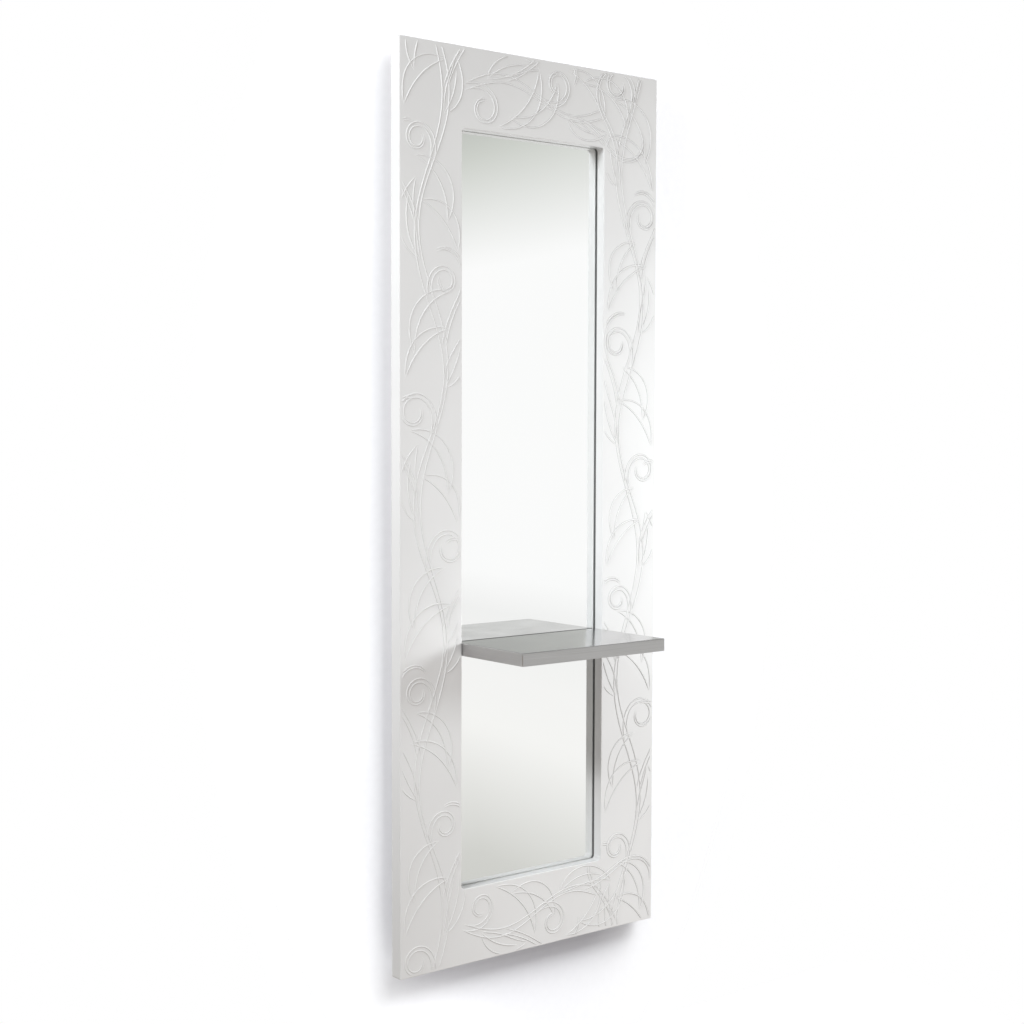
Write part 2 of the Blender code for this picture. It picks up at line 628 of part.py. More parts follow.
def add_shelf_support():
    outline = rounded_outline(SUPPORT_WIDTH, SUPPORT_HEIGHT, SUPPORT_CORNER_RADIUS, (0, SHELF_MID_Z))
    shank = PAN_SHANK + FIT_GAP
    holes = [circle_outline(shank, place, SCREW_SIDES) for place in support_screw_places()]
    holes += [circle_outline(ROD_RADIUS + FIT_GAP, place) for place in rod_places()]
    plate_mesh = smooth(upright("support_plate", [outline, *holes], SUPPORT_THICKNESS))
    coated = make_material("coated_steel", (0.05, 0.05, 0.055), 0.5)
    add_part("support_plate", plate_mesh, coated, UNIT, (0, (SUPPORT_FRONT_Y + SUPPORT_REAR_Y) / 2, 0))
    reach = SUPPORT_REAR_Y - SHELF_BACK_Y + ROD_BITE
    rod_profile = [
        (0, 0),
        (ROD_RADIUS - ROD_CHAMFER, 0),
        (ROD_RADIUS, -ROD_CHAMFER),
        (ROD_RADIUS, ROD_CHAMFER - reach),
        (ROD_RADIUS - ROD_CHAMFER, -reach),
        (0, -reach),
    ]
    rod_mesh = turned("support_rod", rod_profile, ROUND_SIDES)
    bush_length = BACK_REAR_Y - PANE_FRONT_Y
    bore = ROD_RADIUS + FIT_GAP
    bush_profile = [(bore, 0), (BUSH_RADIUS, 0), (BUSH_RADIUS, -bush_length), (bore, -bush_length)]
    bush_mesh = turned("rod_bush", bush_profile, ROUND_SIDES, closed=True)
    nylon = make_material("white_nylon", (0.80, 0.80, 0.77), 0.5)
    grub_top = SHELF_MID_Z - ROD_RADIUS - FIT_GAP
    grub_length = grub_top - CORE_BOTTOM_Z - GRUB_RECESS
    grub_profile = [(0, 0), (GRUB_RADIUS, 0), (GRUB_RADIUS, -grub_length), (0, -grub_length)]
    grub_mesh = turned("grub_screw", grub_profile, SCREW_SIDES)
    for side, (x, z), (_, grub_y) in zip(("left", "right"), rod_places(), grub_places()):
        add_part(f"support_rod_{side}", rod_mesh, coated, UNIT, (x, SUPPORT_REAR_Y, z), FACING_WALL)
        add_part(f"rod_bush_{side}", bush_mesh, nylon, UNIT, (x, BACK_REAR_Y, z), FACING_WALL)
        add_part(f"grub_screw_{side}", grub_mesh, ZINC, UNIT, (x, grub_y, grub_top))
    length = FIT_GAP + SUPPORT_THICKNESS + FIT_GAP + BACK_THICKNESS + FIT_GAP + PAN_BITE
    screw_mesh = pan_screw("support_screw", PAN_SHANK, PAN_HEAD, PAN_HEAD_HEIGHT, length)
    for number, (x, z) in enumerate(support_screw_places(), 1):
        place = (x, SUPPORT_REAR_Y + FIT_GAP, z)
        add_part(f"support_screw_{number}", screw_mesh, ZINC, UNIT, place, FACING_WALL)


for leftover in list(bpy.data.objects):
    bpy.data.objects.remove(leftover)

PARTS = new_collection("salon_styling_mirror")
CUTTERS = new_collection("cutters")
WALL = new_empty("wall_mount")
UNIT = new_empty("mirror_unit")
ZINC = make_material("zinc_plated_steel", (0.62, 0.62, 0.60), 0.35, 1.0)
RUBBER = make_material("black_rubber", (0.05, 0.05, 0.05), 0.8)

add_front_panel()
add_mirror()
add_back_panel()
add_rails()
add_bumpers()
add_shelf()
add_shelf_gasket()
add_shelf_support()
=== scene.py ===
"""Looks of the wall-hung salon styling mirror: finishes, raised ornament, light, stage and camera.

Metres, +Z up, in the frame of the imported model: X runs to the right as seen from the front, and Y runs into
the wall.
"""

import math
import random
from typing import NamedTuple

import bmesh
import bpy
from mathutils import Matrix, Vector


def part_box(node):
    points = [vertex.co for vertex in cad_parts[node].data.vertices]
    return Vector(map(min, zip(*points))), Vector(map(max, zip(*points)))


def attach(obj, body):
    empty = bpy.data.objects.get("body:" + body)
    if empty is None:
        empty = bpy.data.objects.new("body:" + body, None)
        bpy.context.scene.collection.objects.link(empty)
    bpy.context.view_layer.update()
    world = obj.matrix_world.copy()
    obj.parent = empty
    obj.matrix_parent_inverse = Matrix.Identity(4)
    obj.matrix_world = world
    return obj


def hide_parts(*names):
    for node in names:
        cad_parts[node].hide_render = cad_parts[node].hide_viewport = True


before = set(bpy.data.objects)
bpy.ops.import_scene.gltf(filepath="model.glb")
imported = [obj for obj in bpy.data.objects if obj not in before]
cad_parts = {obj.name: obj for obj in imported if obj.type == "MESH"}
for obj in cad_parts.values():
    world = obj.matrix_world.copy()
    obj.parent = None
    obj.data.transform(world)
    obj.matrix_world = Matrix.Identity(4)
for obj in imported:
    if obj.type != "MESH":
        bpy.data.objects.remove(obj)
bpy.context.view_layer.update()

# Camera of the photograph
CAMERA_PLACE = (-2.280, -2.817, -0.667)
CAMERA_DEGREES = (86.91, -0.14, -38.67)
CAMERA_LENS = 59.16

# Panel and shelf, from the frame; the pane reaches behind the opening's lip by its overlap
PANEL_LOW, PANEL_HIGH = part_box("front_panel")
PANE_LOW, PANE_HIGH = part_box("mirror_pane")
PANE_OVERLAP = 0.010
FACE_Y = PANEL_LOW.y
OPENING_LEFT = PANE_LOW.x + PANE_OVERLAP
OPENING_RIGHT = PANE_HIGH.x - PANE_OVERLAP
OPENING_BOTTOM = PANE_LOW.z + PANE_OVERLAP
OPENING_TOP = PANE_HIGH.z - PANE_OVERLAP
PANEL_MID_Z = (PANEL_LOW.z + PANEL_HIGH.z) / 2
SHELF_TOP_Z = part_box("shelf_skin")[1].z

# Raised lines of the ornament: low rounded cords that stand higher to the right and run out at their ends.
# The section is given by shares of half its width; a tip keeps a share of the width and of one step's rise
BEAD_WIDTH = 0.0042
BEAD_HEIGHT_LEFT = 0.0011
BEAD_HEIGHT_RIGHT = 0.0018
BEAD_SINK = 0.0001
BEAD_SHARES = (-1.0, -0.7, -0.35, 0.0, 0.35, 0.7, 1.0)
BEAD_STEP = 0.005
BEAD_TAPER = 0.018
BEAD_STOP = 0.006
BEAD_TIP_WIDTH = 0.4
BEAD_TIP_RISE = 0.3
BEAD_FEWEST_POINTS = 4
BEAD_CREASE_DEGREES = 80
EDGE_CLEARANCE = 0.004

# Tones of the cords' feet, painted dark as shade, and of their crests, painted pale as highlight; where the
# painted shade starts and is full on the way from crest to foot; and the share of it at the panel's left edge
FOOT_SHADE_TONE = 0.26
CREST_HIGHLIGHT_TONE = 0.83
PAINTED_SHADE_START = 0.55
PAINTED_SHADE_FULL = 0.9
LEFT_PAINTED_SHADE = 0.2

# Running vine: a twin stem with a scroll, a leaf, a tendril and two crescents in each bend. Curls and bends
# are in radians a metre, places are shares of the pitch, and pairs are the least and most of a draw
ORNAMENT_SEED = 11
TIP_GAP = 0.0042

# The stem's gap, how much it swells, and how often in each wave
STEM_GAP = 0.0125
STEM_SWELL = 0.005
STEM_BEAT = 1.3

# A scroll's reach is its length in radii, and its ease is its first bend times its radius
SCROLL_GAP = 0.0115
SCROLL_RADIUS = 0.050
SCROLL_SIZES = (0.85, 1.15)
SCROLL_TURNS = 1.15
SCROLL_REACH = 4.5
SCROLL_EASE = 0.4

# A leaf leaves the stem at its spread, is widest nearer its root by its skew, and has a rib part of the way
LEAF_LENGTH = 0.150
LEAF_WIDTH = 0.040
LEAF_SIZES = (0.8, 1.2)
LEAF_PLACES = (0.12, 0.2)
LEAF_SPREAD = 0.50
LEAF_CURLS = (3.0, 9.0)
LEAF_SKEW = 0.8
RIB_SHARE = 0.8

# A tendril's two runs: share of its length, first bend and last bend
TENDRIL_LENGTH = 0.26
TENDRIL_GAP = 0.0105
TENDRIL_PLACES = (0.26, 0.34)
TENDRIL_SPREAD = 0.3
TENDRIL_TURNS = (0.8, 1.2)
TENDRIL_RUNS = ((0.4, 6.0, 2.0), (0.6, -6.0, -28.0))

# The two crescents of a bend: place, distance from the stem's middle line, tilt and first bend
CRESCENTS = ((0.20, 0.10, 0.35, 5.0), (0.30, 0.075, -0.1, 7.0))
CRESCENT_LENGTH = 0.17
CRESCENT_LENGTHS = (0.8, 1.1)
CRESCENT_WIDTH = 0.030
CRESCENT_WIDTHS = (0.7, 1.1)
CRESCENT_SHIFTS = (-0.02, 0.02)
CRESCENT_TIGHTENING = 1.4

# Vines of the stiles and rails: swing to each side, length of a wave, and ends. A stile's vine starts below
# the panel, by one drop on the left (-1) and another on the right (1), and ends above it
STILE_SWING = 0.036
STILE_PITCH = 0.56
STILE_DROPS = ((-1, 0.02), (1, 0.14))
STILE_RISE = 0.03
RAIL_SWING = 0.030
RAIL_PITCH = 0.40
RAIL_REACH = 0.19

# Usual range of a noise's values
NOISE_LOW = 0.3
NOISE_HIGH = 0.7

# Orange peel of the lacquer
PEEL_SCALE = 260.0
PEEL_DEPTH = 0.000012

# Shelf: how fine its brushing is along and across, how much duller its edges are than its top and how
# much painted shade darkens them, how much more darkens its sides, and how much its sheet falls to the front
BRUSH_LONG = 6.0
BRUSH_FINE = 1500.0
BRUSH_DEPTH = 0.000006
EDGE_DULLNESS = 0.30
EDGE_PAINTED_SHADE = 0.15
SIDE_PAINTED_SHADE = 0.35
SHELF_FALL = 0.028

# How much paler the mirror's seal is painted on its level runs, as light falling into them, and the width of
# its upright runs
SEAL_LEVEL_LIGHT = 0.6
SEAL_WIDTH = 0.004

# Cross recess in the screws' heads
RECESS_SPAN = 0.0042
RECESS_SLOT = 0.0011
RECESS_DEPTH = 0.0012
RECESS_TAPER = 0.55

# Studio in reflections and as light: degrees above the horizon, and colour
REFLECTED_STUDIO = (
    (-40, (0.40, 0.39, 0.37)),
    (-16, (0.655, 0.655, 0.625)),
    (-11, (0.95, 0.945, 0.93)),
    (-9, (0.945, 0.94, 0.93)),
    (-6.8, (0.905, 0.905, 0.90)),
    (-5.3, (1.0, 1.0, 1.0)),
    (5.5, (1.0, 1.0, 1.0)),
    (9.6, (0.62, 0.64, 0.60)),
    (12.5, (0.42, 0.425, 0.415)),
    (20, (0.27, 0.275, 0.27)),
    (60, (0.24, 0.24, 0.24)),
)
SOFT_STUDIO = (
    (-60, (0.242, 0.222, 0.208)),
    (0, (0.397, 0.356, 0.328)),
    (60, (0.492, 0.489, 0.486)),
)

# Heights in the reflected studio are multiplied by these stretches where a direction's X has these reaches,
# so that its bright band widens to the right
STUDIO_STRETCH = (1.09, 0.92)
STUDIO_REACH = (0.592, 0.66)

# Stage: a wall just behind the object and a floor below it. Each starts to fade at a share of the way to
# the half axes of its fade and is clear beyond them, and a faint cool glow lifts its shadows
WALL_GAP = 0.0006
WALL_FADE = (0.8, 1.0, 1.5)
FLOOR_DROP = 0.26
FLOOR_MIDDLE_Y = -0.2
FLOOR_FADE = (1.1, 1.1, 1.0)
FADE_START = 0.7
STAGE_REACH = 7.0
STAGE_GLOW = (0.0, 0.008, 0.028)


class Lamp(NamedTuple):
    """A softbox: its place, what it aims at, its watts and its size, with a height if it isn't square."""

    place: tuple
    target: tuple
    power: float
    size: float
    height: float = None
    tint: tuple = (1.0, 1.0, 1.0)
    in_gloss: bool = False


# Suns on the stage, which shine from above and in front: name, distance to the right, and strength
STAGE_SUNS = (("stage_sun_left", -0.8, 0.35), ("stage_sun", 0.25, 1.9), ("stage_sun_right", 1.1, 2.4))
SUN_Y = -1.0
SUN_Z = 1.75
SUN_DEGREES = 34

# Low lamps on the stage, which lighten the shadow below the panel: name, place along it, and watts
LOW_LAMPS = (("stage_low_left", -0.3, 0.36), ("stage_low_right", 0.5, 0.06))
LOW_LAMP_Y = -0.12
LOW_LAMP_DROP = 0.28
LOW_LAMP_SIZE = 0.1

# Softboxes on the stage, which draw and lighten the shadow beside the panel
STAGE_LAMPS = {
    "stage_softbox": Lamp((-2.2, -0.6, 0.9), (0.0, 0.0, -0.6), power=42.0, size=0.6),
    "stage_right": Lamp((1.5, -0.6, -0.7), (0.5, 0.0, -0.7), power=2.6, size=0.3, height=1.4),
    "stage_key": Lamp((-0.15, -0.8, -1.3), (-0.15, 0.0, -1.3), power=0.68, size=0.1),
}

# Tints of the light from the sides, a little cool, and from below, almost plain
SIDE_TINT = (0.93, 0.977, 1.0)
LOW_TINT = (0.985, 0.985, 0.98)

# Heights of the lamp before the right reveal and of the lamp above the sill, and the depth of each
REVEAL_FILL_Z = -0.84
REVEAL_FILL_Y = FACE_Y - 0.045
SILL_FILL_Z = OPENING_BOTTOM + 0.2
SILL_FILL_Y = FACE_Y + 0.006

# Softboxes on the object; the fills and the bounce stand in for light that the recess and shelf throw back
OBJECT_LAMPS = {
    "side_softbox": Lamp(
        (-2.4, -0.6, 0.8), (0.0, 0.0, -0.6), power=57.8, size=0.8, tint=SIDE_TINT, in_gloss=True
    ),
    "side_fill": Lamp((-1.05, 0.12, -0.75), (-0.35, -0.03, -0.75), power=0.5, size=0.3),
    "high_softbox": Lamp((-1.2, -2.0, 0.2), (-0.2, 0.0, -0.2), power=2.6, size=0.6),
    "front_softbox": Lamp((1.0, -0.95, -0.75), (0.2, 0.0, -0.75), power=10.4, size=0.35, tint=SIDE_TINT),
    "low_softbox": Lamp((0.4, -1.5, -2.0), (0.15, 0.0, -1.4), power=7.6, size=0.7, tint=LOW_TINT),
    "reveal_fill": Lamp(
        (-0.1, REVEAL_FILL_Y, REVEAL_FILL_Z),
        (OPENING_RIGHT, FACE_Y, REVEAL_FILL_Z),
        power=0.2,
        size=0.05,
        height=0.5,
    ),
    "sill_fill": Lamp(
        (0.03, SILL_FILL_Y, SILL_FILL_Z),
        (0.03, SILL_FILL_Y, OPENING_BOTTOM),
        power=0.07,
        size=0.2,
        height=0.008,
    ),
    "shelf_bounce": Lamp(
        (-0.05, -0.15, SHELF_TOP_Z + 0.02), (-0.32, FACE_Y, SHELF_TOP_Z + 0.06), power=0.19, size=0.04
    ),
    "back_softbox": Lamp((0.0, 2.4, PANEL_MID_Z + 0.5), (0.0, 0.0, PANEL_MID_Z), power=40.0, size=1.2),
}


def node(tree, kind, values=None, **settings):
    """A new node; values are put on its sockets, or linked to them where they are sockets themselves."""
    made = tree.nodes.new(kind)
    for name, value in settings.items():
        setattr(made, name, value)
    for name, value in (values or {}).items():
        if isinstance(value, bpy.types.NodeSocket):
            tree.links.new(value, made.inputs[name])
        else:
            made.inputs[name].default_value = value
    return made


def maths(tree, operation, *operands):
    """The result of an operation on numbers or sockets."""
    return node(tree, "ShaderNodeMath", dict(enumerate(operands)), operation=operation).outputs["Value"]


def grey(tone):
    return tone, tone, tone


def ramp(tree, factor, stops):
    """Colour from a factor; stops are (place from 0 to 1, colour)."""
    made = node(tree, "ShaderNodeValToRGB", {"Fac": factor})
    elements = made.color_ramp.elements
    while len(elements) < len(stops):
        elements.new(1.0)
    for element, (place, colour) in zip(elements, stops):
        element.position = place
        element.color = (*colour, 1.0)
    return made.outputs["Color"]


def between(tree, grain, dark, light):
    """Colour that follows a noise from dark to light."""
    return ramp(tree, grain, [(NOISE_LOW, dark), (NOISE_HIGH, light)])


def remap(tree, value, low, high, from_low=NOISE_LOW, from_high=NOISE_HIGH):
    """A value carried to the range from low to high, by default from a noise's usual range."""
    values = {"Value": value, "From Min": from_low, "From Max": from_high, "To Min": low, "To Max": high}
    return node(tree, "ShaderNodeMapRange", values).outputs["Result"]


def noise(tree, scale, detail=3.0, stretch=(1.0, 1.0, 1.0)):
    """Noise in metres that keeps its place on the piece; stretch is its scale along X, Y and Z."""
    place = node(tree, "ShaderNodeTexCoord").outputs["Object"]
    mapped = node(tree, "ShaderNodeMapping", {"Vector": place, "Scale": stretch}).outputs["Vector"]
    values = {"Vector": mapped, "Scale": scale, "Detail": detail}
    return node(tree, "ShaderNodeTexNoise", values).outputs["Fac"]


def place_along(tree, axis):
    """How far a point of a piece lies along an axis, in metres."""
    place = node(tree, "ShaderNodeTexCoord").outputs["Object"]
    return node(tree, "ShaderNodeSeparateXYZ", {"Vector": place}).outputs[axis]


def bump(tree, height, depth, normal=None):
    """A surface that follows a height, on top of another bump's normal if one is given."""
    values = {"Height": height, "Distance": depth, "Strength": 1.0}
    if normal is not None:
        values["Normal"] = normal
    return node(tree, "ShaderNodeBump", values).outputs["Normal"]


def new_finish(name):
    """A new material, its node tree and its shader."""
    material = bpy.data.materials.new(name)
    material.use_nodes = True
    tree = material.node_tree
    return material, tree, tree.nodes["Principled BSDF"]


def drive(tree, shader, **sources):
    """Links sources to the shader's sockets of those names, with spaces for underscores."""
    for name, source in sources.items():
        tree.links.new(source, shader.inputs[name.replace("_", " ")])


def grained(name, dark, light, scale, roughness, depth, stretch=(1.0, 1.0, 1.0), metallic=0.0):
    """A finish whose colour, roughness and height all follow one grain."""
    material, tree, shader = new_finish(name)
    grain = noise(tree, scale, detail=5.0, stretch=stretch)
    drive(
        tree,
        shader,
        Base_Color=between(tree, grain, dark, light),
        Roughness=remap(tree, grain, *roughness),
        Normal=bump(tree, grain, depth),
    )
    shader.inputs["Metallic"].default_value = metallic
    return material


def orange_peel(tree):
    """The fine unevenness of sprayed lacquer."""
    return bump(tree, noise(tree, PEEL_SCALE, detail=2.0), PEEL_DEPTH)


def lacquer():
    """White gloss lacquer: a faint cloudiness, an orange-peel surface and a gloss that varies a little."""
    material, tree, shader = new_finish("white_gloss_lacquer")
    drive(
        tree,
        shader,
        Base_Color=between(tree, noise(tree, scale=5.0), grey(0.78), grey(0.81)),
        Roughness=remap(tree, noise(tree, scale=30.0), low=0.03, high=0.06),
        Normal=orange_peel(tree),
    )
    return material


def relief_lacquer():
    """The same lacquer on the raised lines, with painted highlight on the crests and painted shade at the
    feet.

    The painted shade is strongest at the panel's right edge.
    """
    material, tree, shader = new_finish("relief_lacquer")
    # Painted shade along the cords' feet, stronger to the right, and a painted highlight on their crests
    across = node(tree, "ShaderNodeAttribute", attribute_name="across").outputs["Fac"]
    share = remap(tree, place_along(tree, "X"), LEFT_PAINTED_SHADE, 1.0, PANEL_LOW.x, PANEL_HIGH.x)
    low = remap(tree, across, 0.0, 1.0, PAINTED_SHADE_START, PAINTED_SHADE_FULL)
    painted_shade = maths(tree, "MULTIPLY", low, share)
    drive(
        tree,
        shader,
        Base_Color=ramp(tree, painted_shade, [(0.0, grey(CREST_HIGHLIGHT_TONE)), (1.0, grey(FOOT_SHADE_TONE))]),
        Roughness=remap(tree, noise(tree, scale=30.0), low=0.04, high=0.08),
        Normal=orange_peel(tree),
    )
    return material


def silvered_glass():
    """Silvered mirror glass with a slight green tint and a trace of haze."""
    material, tree, shader = new_finish("silvered_glass")
    drive(
        tree,
        shader,
        Base_Color=between(tree, noise(tree, scale=2.0), (0.955, 0.963, 0.957), (0.965, 0.97, 0.966)),
        Roughness=remap(tree, noise(tree, scale=40.0), low=0.002, high=0.012),
    )
    shader.inputs["Metallic"].default_value = 1.0
    return material


def foam():
    """Dark cellular foam whose darkness is painted shade of the gap, painted paler on its level runs as
    light.
    """
    material, tree, shader = new_finish("dark_foam")
    cells = noise(tree, scale=1500.0, detail=5.0)
    reach = maths(tree, "ABSOLUTE", place_along(tree, "X"))
    is_level = maths(tree, "LESS_THAN", reach, OPENING_RIGHT - SEAL_WIDTH)
    # Painted light: the level runs are paler, as light falls into them; the dark tones are painted shade of
    # the gap
    lit_runs = maths(tree, "MULTIPLY_ADD", is_level, SEAL_LEVEL_LIGHT, cells)
    tones = [(NOISE_LOW, grey(0.10)), (NOISE_HIGH, grey(0.16)), (1.0, (0.62, 0.62, 0.61))]
    drive(
        tree,
        shader,
        Base_Color=ramp(tree, lit_runs, tones),
        Roughness=remap(tree, cells, low=0.85, high=1.0),
        Normal=bump(tree, cells, depth=0.0001),
    )
    return material


def brushed_steel():
    """Satin stainless steel, brushed along the shelf on its top and front.

    On its sides the brushing runs from front to back.
    Its front and sides are painted darker than its top, as shade.
    """
    material, tree, shader = new_finish("brushed_stainless")
    along = noise(tree, scale=1.0, detail=6.0, stretch=(BRUSH_LONG, BRUSH_FINE, BRUSH_FINE))
    across = noise(tree, scale=1.0, detail=6.0, stretch=(BRUSH_FINE, BRUSH_LONG, BRUSH_FINE))
    normal = node(tree, "ShaderNodeNewGeometry").outputs["Normal"]
    facing = node(tree, "ShaderNodeSeparateXYZ", {"Vector": normal}).outputs
    is_side = maths(tree, "ABSOLUTE", facing["X"])
    is_level = maths(tree, "ABSOLUTE", facing["Z"])
    is_upright = maths(tree, "SUBTRACT", 1.0, is_level)
    across_grain = node(tree, "ShaderNodeCombineXYZ", {"Y": is_level, "Z": is_upright}).outputs["Vector"]
    mixed = node(tree, "ShaderNodeMix", {0: is_side, 2: along, 3: across}, data_type="FLOAT")
    brush = mixed.outputs[0]
    # Painted shade: the front and sides are darker than the top
    edge_shaded_tone = maths(tree, "MULTIPLY_ADD", is_upright, -EDGE_PAINTED_SHADE, brush)
    tone = maths(tree, "MULTIPLY_ADD", is_side, -SIDE_PAINTED_SHADE, edge_shaded_tone)
    stain = remap(tree, noise(tree, scale=14.0), low=0.15, high=0.18)
    fall = bump(tree, place_along(tree, "Y"), SHELF_FALL)
    drive(
        tree,
        shader,
        Base_Color=ramp(tree, tone, [(0.0, (0.54, 0.532, 0.53)), (0.8, (0.76, 0.755, 0.76))]),
        Roughness=maths(tree, "MULTIPLY_ADD", is_upright, EDGE_DULLNESS, stain),
        Normal=bump(tree, brush, BRUSH_DEPTH, fall),
        Tangent=across_grain,
    )
    shader.inputs["Anisotropic"].default_value = 0.7
    shader.inputs["Metallic"].default_value = 1.0
    return material


def sweep(start, heading, *runs):
    """Points of a line that leaves start at a heading; each run is (length, first bend, last bend)."""
    x, y = start
    points = [(x, y)]
    for length, first, last in runs:
        steps = max(2, round(length / BEAD_STEP))
        for step in range(steps):
            bend = first + (last - first) * (step + 0.5) / steps
            heading += bend * length / steps
            x += math.cos(heading) * length / steps
            y += math.sin(heading) * length / steps
            points.append((x, y))
    return points


def normals(points):
    """The unit normal to the left of a line at each of its points."""
    found = []
    last = len(points) - 1
    for i in range(len(points)):
        x0, y0 = points[max(i - 1, 0)]
        x1, y1 = points[min(i + 1, last)]
        length = math.hypot(x1 - x0, y1 - y0)
        found.append((-(y1 - y0) / length, (x1 - x0) / length))
    return found


def beside(points, offset):
    """A line beside another; offset gives the distance to its left from the share of its length."""
    last = len(points) - 1
    moved = []
    for i, ((x, y), (nx, ny)) in enumerate(zip(points, normals(points))):
        away = offset(i / last)
        moved.append((x + nx * away, y + ny * away))
    return moved


def leaf(rib):
    """A leaf: two edges that swell and meet again, and its rib, which stops short of the tip."""
    def swell(share):
        return LEAF_WIDTH / 2 * math.sin(math.pi * share ** LEAF_SKEW)

    short_rib = rib[: int(len(rib) * RIB_SHARE)]
    return [beside(rib, swell), beside(rib, lambda share: -swell(share)), short_rib]


def crescent(back, width):
    """A back and a belly that part and meet again."""
    return [back, beside(back, lambda share: width * math.sin(math.pi * share))]


def twin(line, gap):
    """Two lines that run side by side and draw together towards the tip."""
    def half(share):
        return (gap + (TIP_GAP - gap) * share) / 2

    return [beside(line, half), beside(line, lambda share: -half(share))]


def vine(draw, start, end, swing, pitch):
    """Lines of a running vine along the first axis, from start to end."""
    wave = 2 * math.pi / pitch

    def stem_at(along, aside=0.0):
        return along, swing * math.sin(wave * (along - start)) + aside

    def heading_at(along):
        return math.atan(swing * wave * math.cos(wave * (along - start)))

    def stem_half(share):
        return (STEM_GAP + STEM_SWELL * math.sin(wave * (end - start) * share * STEM_BEAT)) / 2

    steps = round((end - start) / BEAD_STEP)
    stem = [stem_at(start + (end - start) * step / steps) for step in range(steps + 1)]
    lines = [beside(stem, stem_half), beside(stem, lambda share: -stem_half(share))]
    for bend in range(math.ceil((end - start) / (pitch / 2))):
        side = 1 if bend % 2 == 0 else -1
        fork = start + bend * pitch / 2
        radius = SCROLL_RADIUS * draw.uniform(*SCROLL_SIZES)
        length = SCROLL_REACH * radius
        ease = SCROLL_EASE / radius
        tight = 2 * SCROLL_TURNS * 2 * math.pi / length - ease
        scroll = sweep(stem_at(fork), heading_at(fork), (length, -side * ease, -side * tight))
        lines += twin(scroll, SCROLL_GAP)
        crest = fork + pitch * draw.uniform(*LEAF_PLACES)
        rib_length = LEAF_LENGTH * draw.uniform(*LEAF_SIZES)
        curl = side * draw.uniform(*LEAF_CURLS)
        rib = sweep(stem_at(crest), heading_at(crest) + side * LEAF_SPREAD, (rib_length, -curl, -curl))
        lines += leaf(rib)
        tail = fork + pitch * draw.uniform(*TENDRIL_PLACES)
        turn = draw.uniform(*TENDRIL_TURNS) * side
        runs = [(TENDRIL_LENGTH * share, turn * first, turn * last) for share, first, last in TENDRIL_RUNS]
        tendril = sweep(stem_at(tail), heading_at(tail) + side * TENDRIL_SPREAD, *runs)
        lines += twin(tendril, TENDRIL_GAP)
        for place, aside, tilt, bow in CRESCENTS:
            root = fork + pitch * (place + draw.uniform(*CRESCENT_SHIFTS))
            back_length = CRESCENT_LENGTH * draw.uniform(*CRESCENT_LENGTHS)
            back_run = (back_length, side * bow, side * bow * CRESCENT_TIGHTENING)
            back = sweep(stem_at(root, -side * aside), side * tilt, back_run)
            lines += crescent(back, -side * CRESCENT_WIDTH * draw.uniform(*CRESCENT_WIDTHS))
    return lines


def on_panel(point):
    """Whether a point lies on the panel's flat face."""
    x, z = point
    left, right = PANEL_LOW.x + EDGE_CLEARANCE, PANEL_HIGH.x - EDGE_CLEARANCE
    bottom, top = PANEL_LOW.z + EDGE_CLEARANCE, PANEL_HIGH.z - EDGE_CLEARANCE
    if not (left < x < right and bottom < z < top):
        return False
    beside_opening = x < OPENING_LEFT - EDGE_CLEARANCE or x > OPENING_RIGHT + EDGE_CLEARANCE
    return beside_opening or z < OPENING_BOTTOM - EDGE_CLEARANCE or z > OPENING_TOP + EDGE_CLEARANCE


def kept_runs(points):
    """The stretches of a line that lie on the panel, each with whether its two ends are the line's own."""
    runs = []
    run = []
    last = len(points) - 1
    for index, point in enumerate(points):
        if on_panel(point):
            run.append(index)
        if run and (not on_panel(point) or index == last):
            if len(run) >= BEAD_FEWEST_POINTS:
                runs.append(([points[i] for i in run], run[0] == 0, run[-1] == last))
            run = []
    return runs


def bead(points, free_start, free_end, verts, faces):
    """A raised line with a rounded section that flows out to its foot, closed all round."""
    first = len(verts)
    last = len(points) - 1
    start_taper = BEAD_TAPER if free_start else BEAD_STOP
    end_taper = BEAD_TAPER if free_end else BEAD_STOP
    for i, ((x, z), (nx, nz)) in enumerate(zip(points, normals(points))):
        from_start = (i + BEAD_TIP_RISE) * BEAD_STEP / start_taper
        from_end = (last - i + BEAD_TIP_RISE) * BEAD_STEP / end_taper
        rise = min(1.0, from_start, from_end)
        half = BEAD_WIDTH / 2 * (BEAD_TIP_WIDTH + (1 - BEAD_TIP_WIDTH) * rise)
        aside = (x - PANEL_LOW.x) / (PANEL_HIGH.x - PANEL_LOW.x)
        height = BEAD_HEIGHT_LEFT + (BEAD_HEIGHT_RIGHT - BEAD_HEIGHT_LEFT) * aside
        for share in BEAD_SHARES:
            depth = (height * rise + BEAD_SINK) * math.cos(share * math.pi / 2) ** 2 - BEAD_SINK
            verts.append((x + nx * share * half, FACE_Y - depth, z + nz * share * half))
    width = len(BEAD_SHARES)
    for i in range(last):
        row = first + i * width
        for j in range(width):
            k = (j + 1) % width
            faces.append((row + j, row + width + j, row + width + k, row + k))
    faces.append(tuple(first + j for j in range(width)))
    faces.append(tuple(first + last * width + j for j in reversed(range(width))))


